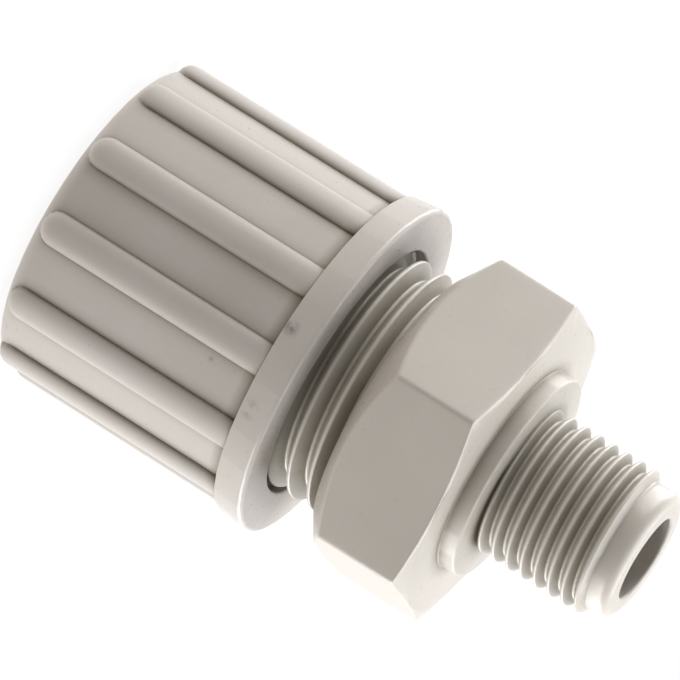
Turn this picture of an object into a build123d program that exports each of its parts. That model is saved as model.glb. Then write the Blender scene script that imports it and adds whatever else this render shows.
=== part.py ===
"""Straight plastic compression fitting: tube coupling with a male pipe thread.

The fitting stands on the tube end of its nut. Z runs along the tube axis, from the
tube hole of the nut at z = 0 up to the end of the pipe thread.
"""
import os
from math import atan, degrees, radians, tan

from build123d import *

# Tube, and the radial room that it has in every hole it passes
tube_diameter = 12.0
socket_clearance = 0.15
ring_clearance = 0.25

# Pipe-thread spigot; the thread is modelled as rings, the first one against the collar
pipe_thread_diameter = 13.157
pipe_thread_depth = 0.856
pipe_thread_pitch = 1.337
pipe_thread_flat = 0.22
pipe_thread_turns = 8
pipe_thread_start = 0.32
pipe_spigot_length = 12.4
pilot_edge_radius = 0.8
flow_bore_diameter = 7.5

# Collar and hexagon
collar_diameter = 18.5
collar_length = 1.6
hex_across_flats = 27.0
hex_length = 10.25
hex_front_bevel = 15.0
hex_rear_bevel = 34.0
hex_rear_step = 1.0

# Seal, its seat in the end of the nut spigot, and the wall around that seat
seal_section = 2.4
seal_clearance = 0.05
seat_depth = 2.6
seat_chamfer = 0.4
spigot_wall = 2.4
tube_stop_depth = 18.0

# Thread of the nut spigot, modelled as rings too; the last one stands clear of the hexagon
nut_thread_depth = 1.25
nut_thread_pitch = 2.0
nut_thread_flat = 0.5
nut_thread_turns = 7
nut_thread_runout = 1.6

# Nut; its round stands out a little over the flats of the hexagon
nut_length = 25.3
nut_over_flats = 0.5
nut_edge_radius = 1.3
nut_hole_length = 3.0
nut_hole_chamfer = 0.5
nut_thread_clearance = 0.15
mouth_relief = 0.35
mouth_depth = 1.2
mouth_lead_in = 0.6
nut_angle = -12.0
flange_length = 2.9
flange_height = 1.0
flange_flare = 0.35
flange_edge_radius = 0.25

# Ribs of the nut
rib_count = 12
rib_height = 0.85
rib_base_width = 3.8
rib_top_width = 2.7
rib_start = 0.5
rib_root = 0.6
rib_edge_chamfer = 0.3

# Split grip ring, which sits in the cone of the nut
grip_length = 6.0
grip_thin_wall = 0.55
grip_taper = 2.1
grip_floor_gap = 0.5
cone_clearance = 0.1
tooth_count = 4
tooth_depth = 0.5
grip_slot_width = 1.6

# Thrust ring that presses on the seal
press_shoulder = 1.0
press_flange_length = 2.0
press_nose_length = 1.5
press_nose_clearance = 0.15

# The nut as it stands: space to the hexagon, and the travel left until it is tight
nut_gap = 4.8
tighten_travel = 2.0
travel_reserve = 0.1

# Radii that follow
socket_radius = tube_diameter / 2 + socket_clearance
ring_radius = tube_diameter / 2 + ring_clearance
seat_radius = socket_radius + seal_section + seal_clearance
spigot_radius = seat_radius + spigot_wall
spigot_root_radius = spigot_radius - nut_thread_depth
pipe_radius = pipe_thread_diameter / 2
pilot_radius = pipe_radius - pipe_thread_depth
flat_radius = hex_across_flats / 2
bevel_reach = hex_across_flats
hex_rear_face_radius = spigot_radius + hex_rear_step
nut_bore_radius = spigot_radius + nut_thread_clearance
nut_radius = flat_radius + nut_over_flats
mouth_radius = nut_bore_radius + mouth_relief
flange_rear_radius = nut_radius + flange_height
flange_front_radius = flange_rear_radius + flange_flare
grip_small_radius = ring_radius + tooth_depth + grip_thin_wall
grip_large_radius = grip_small_radius + grip_taper
cone_slope = grip_taper / grip_length
cone_floor_radius = grip_small_radius + cone_clearance - grip_floor_gap * cone_slope
nose_radius = seat_radius - press_nose_clearance
press_radius = nose_radius + press_shoulder

# Heights that follow, from the tube hole up through the rings to the pipe thread
grip_bottom = nut_hole_length + grip_floor_gap
grip_top = grip_bottom + grip_length
press_flange_top = grip_top + press_flange_length
nose_end = press_flange_top + press_nose_length
seal_height = nose_end + tighten_travel + travel_reserve + seal_section / 2
seat_floor = seal_height + seal_section / 2 + seal_clearance
spigot_end = seat_floor - seat_depth
tube_stop = spigot_end + tube_stop_depth
flange_rear = nut_length - flange_length
mouth_floor = nut_length - mouth_depth
hex_rear = nut_length + nut_gap
hex_front = hex_rear + hex_length
collar_front = hex_front + collar_length
pipe_end = collar_front + pipe_spigot_length
pipe_crest = collar_front + pipe_thread_start
nut_thread_crest = hex_rear - nut_thread_runout - (nut_thread_turns - 1) * nut_thread_pitch

os.makedirs("parts", exist_ok=True)


def thread_rings(first_crest, pitch, turns, crest_radius, root_radius, flat):
    """Corners of a thread's section from low to high, with equal flats on crests and roots."""
    corners = []
    for turn in range(turns):
        crest = first_crest + turn * pitch
        corners.append((root_radius, crest - pitch / 2 + flat / 2))
        corners.append((crest_radius, crest - flat / 2))
        corners.append((crest_radius, crest + flat / 2))
        corners.append((root_radius, crest + pitch / 2 - flat / 2))
    return corners


nut_thread = thread_rings(
    nut_thread_crest, nut_thread_pitch, nut_thread_turns, spigot_radius, spigot_root_radius, nut_thread_flat
)
pipe_thread = thread_rings(
    pipe_crest, pipe_thread_pitch, pipe_thread_turns, pipe_radius, pilot_radius, pipe_thread_flat
)

# Body: turned outline with both threads, hexagon with bevelled corners, then the bores
with BuildPart() as fitting_body:
    with BuildSketch(Plane.XZ):
        with BuildLine():
            Polyline(
                (0, spigot_end),
                (spigot_root_radius, spigot_end),
                *nut_thread,
                (spigot_root_radius, hex_front),
                (collar_diameter / 2, hex_front),
                (collar_diameter / 2, collar_front),
                (pipe_radius, collar_front),
                *pipe_thread[2:],
                (pilot_radius, pipe_end),
                (0, pipe_end),
                close=True,
            )
        make_face()
    revolve(axis=Axis.Z)
    fillet(fitting_body.faces().sort_by(Axis.Z)[-1].edges(), radius=pilot_edge_radius)
    with BuildSketch(Plane.XY.offset(hex_rear)):
        RegularPolygon(radius=flat_radius, side_count=6, major_radius=False)
    extrude(amount=hex_length)
    with BuildSketch(Plane.XZ):
        for height, face_radius, rise in (
            (hex_rear, hex_rear_face_radius, tan(radians(hex_rear_bevel))),
            (hex_front, flat_radius, -tan(radians(hex_front_bevel))),
        ):
            with BuildLine():
                Polyline(
                    (face_radius, height),
                    (bevel_reach, height),
                    (bevel_reach, height + (bevel_reach - face_radius) * rise),
                    close=True,
                )
            make_face()
    revolve(axis=Axis.Z, mode=Mode.SUBTRACT)
    with BuildSketch(Plane.XZ):
        with BuildLine():
            Polyline(
                (0, spigot_end),
                (seat_radius + seat_chamfer, spigot_end),
                (seat_radius, spigot_end + seat_chamfer),
                (seat_radius, seat_floor),
                (socket_radius, seat_floor),
                (socket_radius, tube_stop),
                (flow_bore_diameter / 2, tube_stop),
                (flow_bore_diameter / 2, pipe_end),
                (0, pipe_end),
                close=True,
            )
        make_face()
    revolve(axis=Axis.Z, mode=Mode.SUBTRACT)
fitting_body.part.label = "fitting_body"

# One rib of the nut: drafted sides, a round nose towards the tube end and soft edges
rib_draft = (rib_base_width - rib_top_width) / 2 / rib_height
root_width = rib_base_width + 2 * rib_root * rib_draft
rib_end = flange_rear + flange_length / 2
root_start = rib_start - rib_root * rib_draft
root_plane = Plane(origin=(nut_radius - rib_root, 0, 0), x_dir=(0, 0, 1), z_dir=(1, 0, 0))
with BuildPart() as rib:
    with BuildSketch(root_plane):
        with BuildLine():
            Line((rib_end, root_width / 2), (root_start + root_width / 2, root_width / 2))
            ThreePointArc(
                (root_start + root_width / 2, root_width / 2),
                (root_start, 0),
                (root_start + root_width / 2, -root_width / 2),
            )
            Line((root_start + root_width / 2, -root_width / 2), (rib_end, -root_width / 2))
            Line((rib_end, -root_width / 2), (rib_end, root_width / 2))
        make_face()
    extrude(amount=rib_root + rib_height, taper=degrees(atan(rib_draft)))
    chamfer(rib.faces().sort_by(Axis.X)[-1].edges(), length=rib_edge_chamfer)

# Nut: turned shell with the inner cone, and the ribs around it
with BuildPart() as union_nut:
    with BuildSketch(Plane.XZ):
        with BuildLine():
            Polyline(
                (ring_radius + nut_hole_chamfer, 0),
                (nut_radius, 0),
                (nut_radius, flange_rear),
                (flange_rear_radius, flange_rear),
                (flange_front_radius, nut_length),
                (mouth_radius, nut_length),
                (mouth_radius, mouth_floor),
                (nut_bore_radius, mouth_floor - mouth_lead_in),
                (nut_bore_radius, grip_top),
                (grip_large_radius + cone_clearance, grip_top),
                (cone_floor_radius, nut_hole_length),
                (ring_radius, nut_hole_length),
                (ring_radius, nut_hole_chamfer),
                close=True,
            )
        make_face()
    revolve(axis=Axis.Z)
    fillet(union_nut.faces().sort_by(Axis.Z)[0].outer_wire().edges(), radius=nut_edge_radius)
    fillet(union_nut.faces().sort_by(Axis.Z)[-1].outer_wire().edges(), radius=flange_edge_radius)
    with PolarLocations(0, rib_count, start_angle=nut_angle):
        add(rib.part)
union_nut.part.label = "union_nut"

# Grip ring: cone outside, barbs inside that let the tube in and hold it back, and one slot
tooth_pitch = grip_length / tooth_count
with BuildPart() as grip_ring:
    with BuildSketch(Plane.XZ):
        with BuildLine():
            section = [(grip_large_radius, grip_top), (grip_small_radius, grip_bottom)]
            for tooth in range(tooth_count):
                section.append((ring_radius + tooth_depth, grip_bottom + tooth * tooth_pitch))
                section.append((ring_radius, grip_bottom + (tooth + 1) * tooth_pitch))
            Polyline(*section, close=True)
        make_face()
    revolve(axis=Axis.Z)
    with BuildSketch(Plane.XY.offset(grip_bottom)):
        Rectangle(2 * grip_large_radius, grip_slot_width, align=(Align.MIN, Align.CENTER))
    extrude(amount=grip_length, mode=Mode.SUBTRACT)
grip_ring.part.label = "grip_ring"

# Thrust ring: flange against the grip ring, nose that enters the seat of the seal
with BuildPart() as press_ring:
    with BuildSketch(Plane.XZ):
        with BuildLine():
            Polyline(
                (ring_radius, grip_top),
                (press_radius, grip_top),
                (press_radius, press_flange_top),
                (nose_radius, press_flange_top),
                (nose_radius, nose_end),
                (ring_radius, nose_end),
                close=True,
            )
        make_face()
    revolve(axis=Axis.Z)
press_ring.part.label = "press_ring"

# Seal
with BuildPart() as o_ring:
    with BuildSketch(Plane.XZ):
        with Locations((socket_radius + seal_section / 2, seal_height)):
            Circle(seal_section / 2)
    revolve(axis=Axis.Z)
o_ring.part.label = "o_ring"

for piece in (fitting_body, union_nut, grip_ring, press_ring, o_ring):
    export_step(piece.part, f"parts/{piece.part.label}.step")
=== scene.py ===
"""Looks of the plastic compression fitting: moulded surfaces, true threads and finishes.

Shapes are worked out in millimetres in the frame of the part and written as metres.
"""
from math import atan, cos, pi, radians, sin

import bmesh
import bpy
import numpy as np
from mathutils import Matrix, Vector


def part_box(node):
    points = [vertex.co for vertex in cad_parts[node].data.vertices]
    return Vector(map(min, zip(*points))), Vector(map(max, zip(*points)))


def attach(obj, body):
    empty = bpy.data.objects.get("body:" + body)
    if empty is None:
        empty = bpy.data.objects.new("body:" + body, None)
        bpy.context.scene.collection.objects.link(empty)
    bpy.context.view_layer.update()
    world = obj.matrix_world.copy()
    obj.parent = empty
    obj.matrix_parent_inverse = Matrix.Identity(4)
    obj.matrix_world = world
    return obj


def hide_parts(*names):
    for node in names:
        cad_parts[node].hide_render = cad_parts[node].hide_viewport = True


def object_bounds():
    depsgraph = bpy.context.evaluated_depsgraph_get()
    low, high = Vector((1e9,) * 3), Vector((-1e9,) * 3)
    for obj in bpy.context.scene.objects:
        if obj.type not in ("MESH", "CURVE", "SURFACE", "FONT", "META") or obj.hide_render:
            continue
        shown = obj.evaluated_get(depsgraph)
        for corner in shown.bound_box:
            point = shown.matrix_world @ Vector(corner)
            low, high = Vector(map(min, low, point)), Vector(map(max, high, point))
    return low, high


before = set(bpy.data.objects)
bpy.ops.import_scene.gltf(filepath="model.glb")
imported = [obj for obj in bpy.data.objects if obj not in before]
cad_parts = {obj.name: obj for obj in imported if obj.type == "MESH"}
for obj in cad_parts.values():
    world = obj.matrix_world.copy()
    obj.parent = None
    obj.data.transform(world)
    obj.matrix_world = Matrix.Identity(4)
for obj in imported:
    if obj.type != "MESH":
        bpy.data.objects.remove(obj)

MM = 0.001
cad_low, cad_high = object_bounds()

# Heights read from the solids, in millimetres
spigot_end, pipe_end = (corner.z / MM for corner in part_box("fitting_body"))
_, nut_high = (corner.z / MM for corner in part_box("union_nut"))

# Sizes of the body, as in the solids
PIPE_SPIGOT_LENGTH = 12.4
PIPE_RADIUS = 13.157 / 2
PIPE_PITCH = 1.337
PIPE_THREAD_FLAT = 0.22
FLOW_RADIUS = 3.75
COLLAR_RADIUS = 9.25
COLLAR_LENGTH = 1.6
FLAT_RADIUS = 13.5
HEX_LENGTH = 10.25
HEX_FRONT_BEVEL = radians(15)
HEX_REAR_BEVEL = radians(34)
HEX_REAR_FACE_RADIUS = 12.0
SPIGOT_RADIUS = 11.0
SPIGOT_PITCH = 2.0
SOCKET_RADIUS = 6.15
SEAT_RADIUS = 8.6
SEAT_DEPTH = 2.6
SEAT_CHAMFER = 0.4
TUBE_STOP_DEPTH = 18.0

# Sizes of the nut, as in the solids
NUT_RADIUS = 14.0
NUT_EDGE_RADIUS = 1.3
NUT_BORE_RADIUS = 11.15
MOUTH_RADIUS = 11.5
MOUTH_DEPTH = 1.2
FLANGE_LENGTH = 2.9
FLANGE_REAR_RADIUS = 15.0
FLANGE_FRONT_RADIUS = 15.35
HOLE_RADIUS = 6.25
HOLE_LENGTH = 3.0
HOLE_CHAMFER = 0.5
CONE_TOP_HEIGHT = 9.5
CONE_TOP_RADIUS = 9.5
CONE_FLOOR_RADIUS = 7.225
RIB_COUNT = 12
RIB_ANGLE = radians(-12)
RIB_HEIGHT = 0.85
RIB_START = 0.5

# Sections that follow the photo and differ a little from the solids
PIPE_THREAD_DEPTH = 0.76
PIPE_THREAD_ROUNDING = 0.15
SPIGOT_THREAD_DEPTH = 1.35
SPIGOT_THREAD_FLAT = 0.28
SPIGOT_THREAD_ROUNDING = 0.18
HEX_FRONT_FACE_RADIUS = 13.35
HEX_CORNER_ROUNDING = 0.6
RIB_WIDTH = 3.0
RIB_FULLNESS = 2.3

# The nut's inner thread, which the solids lack
NUT_THREAD_DEPTH = 1.2

# Thread crests as the photo shows them, at the camera's azimuth
PIPE_CREST_FROM_COLLAR = 0.32
SPIGOT_CREST_FROM_HEX = 1.6

# Where the threads end, and the lengths over which they rise or run out
PILOT_LENGTH = 2.0
PIPE_THREAD_OFF_COLLAR = 0.12
PIPE_THREAD_RUNOUT = 0.5
SPIGOT_THREAD_OFF_END = 0.3
SPIGOT_THREAD_OFF_HEX = 0.4
SPIGOT_THREAD_RISE = 0.9
SPIGOT_THREAD_RUNOUT = 0.7
NUT_THREAD_OFF_ENDS = 0.6
NUT_THREAD_RUNOUT = 0.9

# Roundings of moulded edges
FINE_ROUNDING = 0.1
CRISP_ROUNDING = 0.12
SMALL_ROUNDING = 0.15
SOFT_ROUNDING = 0.2
WIDE_ROUNDING = 0.25
FLANGE_ROUNDING = 0.4
PILOT_ROUNDING = 1.1
FLANGE_FILLET = 0.2

# Narrow ring that keeps the shading of the collar's face flat up to the thread
HOLDING_RING = 0.03

# The edges of the hexagon: how far they are softened, and the share of that at their middle row
HEX_EDGE_SOFTNESS = 0.25
HEX_EDGE_MIDDLE = 0.2

# Fineness of the meshes
ARC_STEPS = 5
HEX_SECTOR_COLUMNS = 30
HEX_CORNER_CROWDING = 0.92
RIB_STEPS = 13
NUT_EDGE_ROWS = 18
RIB_NOSE_ROWS = 13
RIB_SIDE_ROWS = 5
FLANGE_FILLET_SHARES = (0.4, 0.75, 1.0)
SHARP_ANGLE = radians(40)
MERGE_DISTANCE = 2e-7

# The camera's place: azimuth of its foot point, height angle, roll of the axis in the picture
VIEW_AZIMUTH = radians(7.0)
VIEW_ELEVATION = radians(13.5)
AXIS_DROP = radians(32.1)
VIEW_DISTANCE = 0.7
PICTURE_SIZE = 680
PIXELS_PER_MM = 12.3
AIM_HEIGHT = 23.25
AIM_SIDE = 1.88
SENSOR_WIDTH = 36.0
CLIP_START = 0.01

# Heights and radii that follow
hex_front = pipe_end - PIPE_SPIGOT_LENGTH - COLLAR_LENGTH
hex_rear = hex_front - HEX_LENGTH
collar_front = hex_front + COLLAR_LENGTH
pilot_radius = PIPE_RADIUS - PIPE_THREAD_DEPTH
spigot_root = SPIGOT_RADIUS - SPIGOT_THREAD_DEPTH
tube_stop = spigot_end + TUBE_STOP_DEPTH
seat_floor = spigot_end + SEAT_DEPTH
flange_rear = nut_high - FLANGE_LENGTH
mouth_floor = nut_high - MOUTH_DEPTH
rib_nose = RIB_START + RIB_WIDTH / 2
pipe_thread_low = collar_front + PIPE_THREAD_OFF_COLLAR
pipe_thread_high = pipe_end - PILOT_LENGTH
spigot_thread_low = spigot_end + SPIGOT_THREAD_OFF_END
spigot_thread_high = hex_rear - SPIGOT_THREAD_OFF_HEX
nut_thread_low = CONE_TOP_HEIGHT + NUT_THREAD_OFF_ENDS
nut_thread_high = mouth_floor - NUT_THREAD_OFF_ENDS
pipe_crest = collar_front + PIPE_CREST_FROM_COLLAR - PIPE_PITCH * VIEW_AZIMUTH / (2 * pi)
spigot_crest = hex_rear - SPIGOT_CREST_FROM_HEX - SPIGOT_PITCH * VIEW_AZIMUTH / (2 * pi)


def smooth(value):
    """Eased step from 0 to 1."""
    value = np.clip(value, 0.0, 1.0)
    return value * value * (3 - 2 * value)


def rounded(corners):
    """Points of a turned profile whose corners (radius, height, rounding) become arcs."""
    points = []
    for index, (radius, height, rounding) in enumerate(corners):
        here = np.array((radius, height))
        if rounding == 0:
            points.append(here)
            continue
        before = np.array(corners[index - 1][:2]) - here
        after = np.array(corners[index + 1][:2]) - here
        before /= np.linalg.norm(before)
        after /= np.linalg.norm(after)
        half = np.arccos(np.clip(before @ after, -1, 1)) / 2
        centre = here + (before + after) / np.linalg.norm(before + after) * rounding / np.sin(half)
        start = here + before * rounding / np.tan(half) - centre
        end = here + after * rounding / np.tan(half) - centre
        turn = np.arctan2(start[0] * end[1] - start[1] * end[0], start @ end)
        for share in np.linspace(0, 1, ARC_STEPS + 1):
            c, s = np.cos(turn * share), np.sin(turn * share)
            points.append(centre + np.array((c * start[0] - s * start[1], s * start[0] + c * start[1])))
    return points


def row(angles, radius, height):
    """One row of points round the axis; radius and height may differ from column to column."""
    radius, height, _ = np.broadcast_arrays(radius, height, angles)
    return np.stack([radius * np.cos(angles), radius * np.sin(angles), height], axis=1)


def turned(angles, corners):
    """Rows of a turned profile."""
    return [row(angles, radius, height) for radius, height in rounded(corners)]


def thread_section(pitch, flat, depth, rounding):
    """Half a thread: distance from the middle of its crest against rise over its root."""
    return np.array(rounded([
        (0, depth, 0),
        (flat / 2, depth, rounding),
        (pitch / 2 - flat / 2, 0, rounding),
        (pitch / 2, 0, 0),
    ]))


def thread_rows(angles, low, high, pitch, crest, section, radius_at):
    """Rows that climb with a right-hand helix from height low to high, cut off flat at both."""
    turns = angles / (2 * pi)
    steps = np.concatenate([-section[::-1, 0], section[1:-1, 0]])
    first = int(np.floor((low - crest) / pitch)) - 1
    last = int(np.ceil((high - crest) / pitch))
    rows = []
    for turn in range(first, last + 1):
        for step in steps:
            height = np.clip(crest + pitch * (turn + turns) + step, low, high)
            from_crest = np.abs((height - crest - pitch * turns + pitch / 2) % pitch - pitch / 2)
            rise = np.interp(from_crest, section[:, 0], section[:, 1])
            rows.append(row(angles, radius_at(rise, height), height))
    return rows


def piece_from_rows(name, rows):
    """Closed mesh through the rows, the last joined to the first."""
    grid = np.array(rows) * MM
    count, columns = grid.shape[:2]
    faces = []
    for i in range(count):
        this, following = i * columns, (i + 1) % count * columns
        faces.extend((this + j, this + j + 1, following + j + 1, following + j) for j in range(columns - 1))
    mesh = bpy.data.meshes.new(name)
    mesh.from_pydata(grid.reshape(-1, 3).tolist(), [], faces)
    shape = bmesh.new()
    shape.from_mesh(mesh)
    bmesh.ops.remove_doubles(shape, verts=shape.verts, dist=MERGE_DISTANCE)
    bmesh.ops.recalc_face_normals(shape, faces=shape.faces)
    shape.to_mesh(mesh)
    shape.free()
    mesh.polygons.foreach_set("use_smooth", [True] * len(mesh.polygons))
    mesh.set_sharp_from_angle(angle=SHARP_ANGLE)
    piece = bpy.data.objects.new(name, mesh)
    bpy.context.scene.collection.objects.link(piece)
    normals = piece.modifiers.new("even_normals", "WEIGHTED_NORMAL")
    normals.keep_sharp = True
    return piece


# Body
pipe_section = thread_section(PIPE_PITCH, PIPE_THREAD_FLAT, PIPE_THREAD_DEPTH, PIPE_THREAD_ROUNDING)
spigot_section = thread_section(
    SPIGOT_PITCH, SPIGOT_THREAD_FLAT, SPIGOT_THREAD_DEPTH, SPIGOT_THREAD_ROUNDING)


def body_angles():
    """Column angles, crowded at the corners of the hexagon."""
    share = np.arange(6 * HEX_SECTOR_COLUMNS + 1) / HEX_SECTOR_COLUMNS
    return (share - HEX_CORNER_CROWDING * np.sin(2 * pi * share) / (2 * pi)) * pi / 3


def hex_radius(angles):
    """Outline of a hexagon with rounded corners, one of them on +X."""
    half_sector = pi / 6
    from_corner = np.abs((angles + half_sector) % (2 * half_sector) - half_sector)
    centre = (FLAT_RADIUS - HEX_CORNER_ROUNDING) / cos(half_sector)
    end = atan(HEX_CORNER_ROUNDING * sin(half_sector) / (centre + HEX_CORNER_ROUNDING * cos(half_sector)))
    flat = FLAT_RADIUS / np.cos(half_sector - from_corner)
    under = np.clip(HEX_CORNER_ROUNDING ** 2 - (centre * np.sin(from_corner)) ** 2, 0, None)
    return np.where(from_corner < end, centre * np.cos(from_corner) + np.sqrt(under), flat)


def hex_edge(angles, end_height, inward, bevel, face_radius):
    """Rows over the edge between an end bevel and the flats; inward is the way into the hexagon."""
    outline = hex_radius(angles)
    drop = (outline - face_radius) * np.tan(bevel)
    soft = HEX_EDGE_SOFTNESS
    middle = HEX_EDGE_MIDDLE * soft
    slope_row = row(angles, outline - soft, end_height + inward * (drop - soft * np.tan(bevel)))
    edge_row = row(angles, outline - middle, end_height + inward * (drop + middle))
    flat_row = row(angles, outline, end_height + inward * (drop + soft))
    return [slope_row, edge_row, flat_row]


def pipe_thread_radius(rise, height):
    """Outside of the pipe thread, with a run-out at the pilot."""
    return pilot_radius + rise * smooth((pipe_thread_high - height) / PIPE_THREAD_RUNOUT)


def spigot_thread_radius(rise, height):
    """Outside of the nut's thread on the body, with run-outs at both ends."""
    start = smooth((height - spigot_thread_low) / SPIGOT_THREAD_RISE)
    end = smooth((spigot_thread_high - height) / SPIGOT_THREAD_RUNOUT)
    return spigot_root + rise * start * end


def make_body():
    """The one-piece moulding from the pipe thread to the seat of the seal."""
    angles = body_angles()
    bore_middle = (tube_stop + pipe_end) / 2
    rows = turned(angles, [
        (FLOW_RADIUS, bore_middle, 0),
        (FLOW_RADIUS, pipe_end, WIDE_ROUNDING),
        (pilot_radius, pipe_end, PILOT_ROUNDING),
        (pilot_radius, pipe_thread_high, 0),
    ])
    rows += thread_rows(
        angles, pipe_thread_low, pipe_thread_high,
        PIPE_PITCH, pipe_crest, pipe_section, pipe_thread_radius)[::-1]
    rows += turned(angles, [
        (PIPE_RADIUS, collar_front, 0),
        (PIPE_RADIUS + HOLDING_RING, collar_front, 0),
        (COLLAR_RADIUS, collar_front, SOFT_ROUNDING),
        (COLLAR_RADIUS, hex_front, CRISP_ROUNDING),
        (HEX_FRONT_FACE_RADIUS, hex_front, 0),
    ])
    rows += hex_edge(angles, hex_front, -1, HEX_FRONT_BEVEL, HEX_FRONT_FACE_RADIUS)
    rows += hex_edge(angles, hex_rear, 1, HEX_REAR_BEVEL, HEX_REAR_FACE_RADIUS)[::-1]
    rows += turned(angles, [
        (HEX_REAR_FACE_RADIUS, hex_rear, 0),
        (spigot_root, hex_rear, WIDE_ROUNDING),
        (spigot_root, spigot_thread_high, 0),
    ])
    rows += thread_rows(
        angles, spigot_thread_low, spigot_thread_high,
        SPIGOT_PITCH, spigot_crest, spigot_section, spigot_thread_radius)[::-1]
    rows += turned(angles, [
        (spigot_root, spigot_thread_low, 0),
        (spigot_root, spigot_end, SMALL_ROUNDING),
        (SEAT_RADIUS + SEAT_CHAMFER, spigot_end, FINE_ROUNDING),
        (SEAT_RADIUS, spigot_end + SEAT_CHAMFER, 0),
        (SEAT_RADIUS, seat_floor, SOFT_ROUNDING),
        (SOCKET_RADIUS, seat_floor, SMALL_ROUNDING),
        (SOCKET_RADIUS, tube_stop, SOFT_ROUNDING),
        (FLOW_RADIUS, tube_stop, SOFT_ROUNDING),
        (FLOW_RADIUS, bore_middle, 0),
    ])
    return piece_from_rows("fitting_body_moulding", rows[:-1])


# Nut
rib_turn = np.linspace(0, pi / 2, RIB_STEPS)
rib_section = np.stack(
    [RIB_WIDTH / 2 * np.sin(rib_turn) ** (2 / RIB_FULLNESS), RIB_HEIGHT * np.cos(rib_turn)], axis=1)


def nut_angles():
    """Column angles: the points of the ribs' section, and the middles between the ribs."""
    half = rib_section[:, 0] / NUT_RADIUS
    sector = np.concatenate([-half[:0:-1], half, [pi / RIB_COUNT]])
    starts = RIB_ANGLE + np.arange(RIB_COUNT) * 2 * pi / RIB_COUNT
    angles = (starts[:, None] + sector).ravel()
    return np.append(angles, angles[0] + 2 * pi)


def rib_rise(angles, height):
    """Height of the ribs over the round of the nut: domed, with a round nose."""
    sector = 2 * pi / RIB_COUNT
    sideways = ((angles - RIB_ANGLE + sector / 2) % sector - sector / 2) * NUT_RADIUS
    away = np.hypot(sideways, np.minimum(height - rib_nose, 0))
    return np.interp(away, rib_section[:, 0], rib_section[:, 1])


def nut_thread_radius(rise, height):
    """Inside of the nut's thread, with run-outs at both ends."""
    start = smooth((height - nut_thread_low) / NUT_THREAD_RUNOUT)
    end = smooth((nut_thread_high - height) / NUT_THREAD_RUNOUT)
    return NUT_BORE_RADIUS - NUT_THREAD_DEPTH * (1 - rise / SPIGOT_THREAD_DEPTH) * start * end


def nut_side_rows(angles):
    """Rows up the outside of the nut: its round lower edge, the ribs and the fillet at the flange."""
    rows = []
    for share in np.linspace(0, 1, NUT_EDGE_ROWS + 1)[1:]:
        tilt = share * pi / 2
        height = NUT_EDGE_RADIUS * (1 - cos(tilt))
        radius = NUT_RADIUS - NUT_EDGE_RADIUS * (1 - sin(tilt))
        rows.append(row(angles, radius + rib_rise(angles, height), height))
    nose_heights = np.linspace(NUT_EDGE_RADIUS, rib_nose, RIB_NOSE_ROWS + 1)[1:]
    side_heights = np.linspace(rib_nose, flange_rear - FLANGE_FILLET, RIB_SIDE_ROWS + 1)[1:]
    for height in (*nose_heights, *side_heights):
        rows.append(row(angles, NUT_RADIUS + rib_rise(angles, height), height))
    for share in FLANGE_FILLET_SHARES:
        height = flange_rear - FLANGE_FILLET * (1 - share)
        rise = np.maximum(rib_rise(angles, height), FLANGE_FILLET * share ** 3)
        rows.append(row(angles, NUT_RADIUS + rise, height))
    return rows


def make_nut():
    """The one-piece union nut with its ribs, flared flange, thread and inner cone."""
    angles = nut_angles()
    hole_middle = HOLE_LENGTH / 2
    rows = turned(angles, [
        (HOLE_RADIUS, hole_middle, 0),
        (HOLE_RADIUS, HOLE_CHAMFER, FINE_ROUNDING),
        (HOLE_RADIUS + HOLE_CHAMFER, 0, SMALL_ROUNDING),
        (NUT_RADIUS - NUT_EDGE_RADIUS, 0, 0),
    ])
    rows += nut_side_rows(angles)
    rows += turned(angles, [
        (NUT_RADIUS + RIB_HEIGHT, flange_rear, 0),
        (FLANGE_REAR_RADIUS, flange_rear, CRISP_ROUNDING),
        (FLANGE_FRONT_RADIUS, nut_high, FLANGE_ROUNDING),
        (MOUTH_RADIUS, nut_high, SOFT_ROUNDING),
        (MOUTH_RADIUS, mouth_floor, FINE_ROUNDING),
        (NUT_BORE_RADIUS, nut_thread_high, 0),
    ])[1:]
    rows += thread_rows(
        angles, nut_thread_low, nut_thread_high,
        SPIGOT_PITCH, spigot_crest, spigot_section, nut_thread_radius)[::-1]
    rows += turned(angles, [
        (NUT_BORE_RADIUS, nut_thread_low, 0),
        (NUT_BORE_RADIUS, CONE_TOP_HEIGHT, SOFT_ROUNDING),
        (CONE_TOP_RADIUS, CONE_TOP_HEIGHT, FINE_ROUNDING),
        (CONE_FLOOR_RADIUS, HOLE_LENGTH, SMALL_ROUNDING),
        (HOLE_RADIUS, HOLE_LENGTH, FINE_ROUNDING),
        (HOLE_RADIUS, hole_middle, 0),
    ])
    return piece_from_rows("union_nut_moulding", rows[:-1])


# Materials
def linear(*levels):
    """Colour from picture levels of 0 to 255."""
    return tuple(((v / 255 + 0.055) / 1.055) ** 2.4 for v in levels) + (1.0,)


# Dark warm colour of the painted shade laid into corners, thread grooves and rib roots
CORNER_SHADE_COLOUR = linear(82, 73, 32)
CORNER_SHADE_SAMPLES = 6
MARK_COLOUR = linear(84, 78, 74)
RUBBER_COLOUR = linear(24, 24, 25)
BLOOM_COLOUR = linear(44, 43, 43)
RUBBER_ROUGHNESS = 0.6
PLASTIC_IOR = 1.49

# Scale and detail of each noise, and the part of its range that is used
CLOUD_NOISE = (160.0, 4.0)
GRAIN_NOISE = (2600.0, 3.0)
SPECK_NOISE = (1300.0, 2.0)
BLOOM_NOISE = (900.0, 3.0)
MIDDLE_RANGE = (0.3, 0.7)
SPECK_RANGE = (0.38, 0.62)
FULL_RANGE = (0.0, 1.0)

# What the grain does: roughness below and above the plastic's own, then bumps as strength and metres
GRAIN_SMOOTHER = 0.05
GRAIN_ROUGHER = 0.07
GRAIN_BUMP = (0.25, 0.00004)
BLOOM_BUMP = (0.2, 0.00003)

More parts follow.
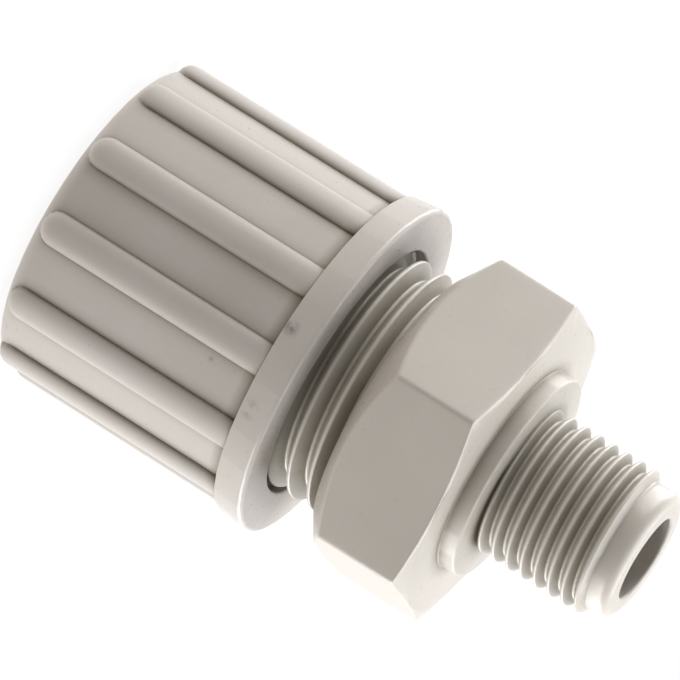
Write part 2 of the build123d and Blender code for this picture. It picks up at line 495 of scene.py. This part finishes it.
# Marks on the nut in the photo: azimuth in degrees, radius, height and size in millimetres, strength
NUT_MARKS = [
    (4.5, 15.1, 22.9, 1.0, 0.7),
    (33.0, 15.1, 23.2, 1.3, 0.5),
    (27.5, 14.0, 18.2, 0.4, 0.5),
    (-76.0, 15.2, 25.2, 0.7, 0.8),
]


class Nodes:
    """Short way to add and join the nodes of one material."""

    def __init__(self, name):
        self.material = bpy.data.materials.new(name)
        self.material.use_nodes = True
        self.tree = self.material.node_tree
        self.shader = self.tree.nodes["Principled BSDF"]
        self.place = self.add("ShaderNodeTexCoord").outputs["Object"]

    def add(self, kind, inputs=(), **settings):
        """New node; each input is a value or the socket that feeds it."""
        node = self.tree.nodes.new(kind)
        for key, value in settings.items():
            setattr(node, key, value)
        for key, value in dict(inputs).items():
            if isinstance(value, bpy.types.NodeSocket):
                self.tree.links.new(value, node.inputs[key])
            else:
                node.inputs[key].default_value = value
        return node

    def noise(self, scale, detail):
        """Noise that stays with the piece."""
        inputs = {"Vector": self.place, "Scale": scale, "Detail": detail}
        return self.add("ShaderNodeTexNoise", inputs).outputs["Fac"]

    def spread(self, value, old, new, **settings):
        """Value moved from its old range to a new one."""
        inputs = {0: value, 1: old[0], 2: old[1], 3: new[0], 4: new[1]}
        return self.add("ShaderNodeMapRange", inputs, **settings).outputs[0]

    def mix(self, share, first, second):
        """Colour between two; share is that of the second."""
        return self.add("ShaderNodeMix", {0: share, 6: first, 7: second}, data_type="RGBA").outputs[2]

    def bump(self, height, strength, distance):
        """Normals of a surface that rises with the height."""
        inputs = {"Height": height, "Strength": strength, "Distance": distance}
        return self.add("ShaderNodeBump", inputs).outputs[0]

    def join(self, socket, target):
        """Link into the shader."""
        self.tree.links.new(socket, self.shader.inputs[target])


def marked(nodes, tint, marks):
    """Colour with smudges: each is full in its middle, broken up by noise and gone at its size."""
    breakup = nodes.spread(nodes.noise(*SPECK_NOISE), SPECK_RANGE, FULL_RANGE)
    for azimuth, radius, height, size, strength in marks:
        turn = radians(azimuth)
        middle = (radius * cos(turn) * MM, radius * sin(turn) * MM, height * MM)
        away = nodes.add("ShaderNodeVectorMath", {0: nodes.place, 1: middle}, operation="DISTANCE")
        share = nodes.spread(
            away.outputs["Value"], (0.0, size * MM), (strength, 0.0), interpolation_type="SMOOTHSTEP")
        broken = nodes.add("ShaderNodeMath", {0: share, 1: breakup}, operation="MULTIPLY")
        tint = nodes.mix(broken.outputs[0], tint, MARK_COLOUR)
    return tint


def moulded_plastic(name, colour, shade, roughness, corner, closed, marks=()):
    """Satin moulded plastic with faint clouding, a fine grain and painted shade in its corners.

    The painted shade darkens the colour as the piece closes itself in within corner millimetres,
    and is full where the closed-in share, from 0 to 1, reaches closed.
    """
    nodes = Nodes(name)
    grain = nodes.noise(*GRAIN_NOISE)
    clouds = nodes.spread(nodes.noise(*CLOUD_NOISE), MIDDLE_RANGE, FULL_RANGE)
    tint = nodes.mix(clouds, colour, shade)
    if marks:
        tint = marked(nodes, tint, marks)
    # Painted shade: an ambient-occlusion node darkens the colour where the piece closes itself in
    open_share = nodes.add(
        "ShaderNodeAmbientOcclusion", {"Distance": corner * MM}, samples=CORNER_SHADE_SAMPLES, only_local=True)
    painted_shade = nodes.spread(open_share.outputs["AO"], (1 - closed, 1.0), (1.0, 0.0))
    rough = nodes.spread(grain, MIDDLE_RANGE, (roughness - GRAIN_SMOOTHER, roughness + GRAIN_ROUGHER))
    nodes.join(nodes.mix(painted_shade, tint, CORNER_SHADE_COLOUR), "Base Color")
    nodes.join(rough, "Roughness")
    nodes.join(nodes.bump(grain, *GRAIN_BUMP), "Normal")
    nodes.shader.inputs["IOR"].default_value = PLASTIC_IOR
    return nodes.material


def seal_rubber():
    """Matt black rubber with a faint bloom."""
    nodes = Nodes("seal_rubber")
    bloom = nodes.noise(*BLOOM_NOISE)
    nodes.join(nodes.mix(bloom, RUBBER_COLOUR, BLOOM_COLOUR), "Base Color")
    nodes.join(nodes.bump(bloom, *BLOOM_BUMP), "Normal")
    nodes.shader.inputs["Roughness"].default_value = RUBBER_ROUGHNESS
    return nodes.material


def give(piece, material):
    """The only material of a piece."""
    piece.data.materials.clear()
    piece.data.materials.append(material)


# corner and closed set how far and how strongly each piece gets painted shade in its corners
body_plastic = moulded_plastic(
    "body_plastic", linear(198, 192, 184), linear(193, 187, 179), roughness=0.32, corner=1.5, closed=1.0)
nut_plastic = moulded_plastic(
    "nut_plastic", linear(199, 193, 188), linear(194, 188, 182), roughness=0.32, corner=1.4, closed=0.45,
    marks=NUT_MARKS)
ring_plastic = moulded_plastic(
    "ring_plastic", linear(228, 226, 218), linear(220, 217, 208), roughness=0.4, corner=0.8, closed=1.0)

body = make_body()
give(body, body_plastic)
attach(body, "body")
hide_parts("fitting_body")

nut = make_nut()
give(nut, nut_plastic)
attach(nut, "nut")
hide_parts("union_nut")

for node in ("grip_ring", "press_ring"):
    give(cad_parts[node], ring_plastic)
give(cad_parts["o_ring"], seal_rubber())


# Stage, light and camera; lengths in metres
FLOOR_SIZE = 1.6
FLOOR_DROP = 0.00002
FLOOR_GLOW = 0.86
FLOOR_SHADE = linear(120, 120, 120)
FLOOR_BOUNCE = 0.82
FLOOR_WARMTH = (1.0, 0.955, 0.9, 1.0)
WORLD_LIGHT = 0.01
LAMP_DISTANCE = 0.3
SQUARE_BOX = (0.32, 0.32)
LONG_BOX = (0.5, 0.16)

object_middle = Vector((0, 0, (cad_low.z + cad_high.z) / 2))
near = Vector((cos(VIEW_AZIMUTH), sin(VIEW_AZIMUTH), 0))
across = Vector((sin(VIEW_AZIMUTH), -cos(VIEW_AZIMUTH), 0))
upright = Vector((0, 0, 1))


def background_rays(tree):
    """1 for the rays that see the white background itself, 0 for those that only carry its light."""
    rays = tree.nodes.new("ShaderNodeLightPath")
    seen = rays.outputs["Is Camera Ray"]
    for kind in ("Is Glossy Ray", "Is Transmission Ray"):
        either = tree.nodes.new("ShaderNodeMath")
        either.operation = "MAXIMUM"
        tree.links.new(seen, either.inputs[0])
        tree.links.new(rays.outputs[kind], either.inputs[1])
        seen = either.outputs[0]
    return seen


def make_floor():
    """White floor that keeps a soft shadow."""
    bpy.ops.mesh.primitive_plane_add(size=FLOOR_SIZE, location=(0, 0, -FLOOR_DROP))
    floor = bpy.context.object
    floor.name = "floor"
    material = bpy.data.materials.new("floor_white")
    material.use_nodes = True
    tree = material.node_tree
    tree.nodes.remove(tree.nodes["Principled BSDF"])
    out = tree.nodes["Material Output"]
    bounce = tree.nodes.new("ShaderNodeEmission")
    bounce.inputs["Color"].default_value = FLOOR_WARMTH
    bounce.inputs["Strength"].default_value = FLOOR_BOUNCE
    shade = tree.nodes.new("ShaderNodeBsdfDiffuse")
    shade.inputs["Color"].default_value = FLOOR_SHADE
    glow = tree.nodes.new("ShaderNodeEmission")
    glow.inputs["Strength"].default_value = FLOOR_GLOW
    seen = tree.nodes.new("ShaderNodeAddShader")
    tree.links.new(shade.outputs[0], seen.inputs[0])
    tree.links.new(glow.outputs[0], seen.inputs[1])
    mix = tree.nodes.new("ShaderNodeMixShader")
    tree.links.new(background_rays(tree), mix.inputs[0])
    tree.links.new(bounce.outputs[0], mix.inputs[1])
    tree.links.new(seen.outputs[0], mix.inputs[2])
    tree.links.new(mix.outputs[0], out.inputs["Surface"])
    floor.data.materials.append(material)


def make_world():
    """Surroundings that look white and give hardly any light."""
    world = bpy.data.worlds.new("studio")
    bpy.context.scene.world = world
    world.use_nodes = True
    tree = world.node_tree
    background = tree.nodes["Background"]
    background.inputs["Color"].default_value = (1, 1, 1, 1)
    strength = tree.nodes.new("ShaderNodeMapRange")
    tree.links.new(background_rays(tree), strength.inputs[0])
    strength.inputs[3].default_value = WORLD_LIGHT
    strength.inputs[4].default_value = 1.0
    tree.links.new(strength.outputs[0], background.inputs["Strength"])


def soft_box(name, toward, size, radiance):
    """Lamp that faces the object from the given side; radiance is its brightness as seen."""
    width, height = size
    lamp = bpy.data.lights.new(name, "AREA")
    lamp.shape = "RECTANGLE"
    lamp.size = width
    lamp.size_y = height
    lamp.energy = radiance * pi * width * height
    holder = bpy.data.objects.new(name, lamp)
    bpy.context.scene.collection.objects.link(holder)
    holder.location = object_middle + toward.normalized() * LAMP_DISTANCE
    holder.rotation_euler = toward.to_track_quat("Z", "Y").to_euler()


def make_camera():
    """Long lens, turned so that the axis runs down to the right as in the photo."""
    back = near * cos(VIEW_ELEVATION) + upright * sin(VIEW_ELEVATION)
    along = (upright - back * upright.dot(back)).normalized()
    level = back.cross(along)
    right = along * cos(AXIS_DROP) + level * sin(AXIS_DROP)
    up = level * cos(AXIS_DROP) - along * sin(AXIS_DROP)
    aim = Vector((0, 0, AIM_HEIGHT * MM)) + level * AIM_SIDE * MM
    lens = bpy.data.cameras.new("camera")
    lens.sensor_width = SENSOR_WIDTH
    lens.lens = PIXELS_PER_MM / MM * VIEW_DISTANCE / PICTURE_SIZE * SENSOR_WIDTH
    lens.clip_start = CLIP_START
    camera = bpy.data.objects.new("camera", lens)
    bpy.context.scene.collection.objects.link(camera)
    turn = Matrix((right, up, back)).transposed().to_4x4()
    camera.matrix_world = Matrix.Translation(aim + back * VIEW_DISTANCE) @ turn
    bpy.context.scene.camera = camera


soft_box("top_box", upright - 0.3 * near, SQUARE_BOX, radiance=4.4)
soft_box("front_box", upright + 0.5 * near, SQUARE_BOX, radiance=0.3)
soft_box("upper_side_box", across - 0.25 * near, LONG_BOX, radiance=7.1)
soft_box("lower_side_box", -across - 0.3 * near, LONG_BOX, radiance=7.9)
make_floor()
make_world()
make_camera()
bpy.context.scene.view_settings.view_transform = "Standard"
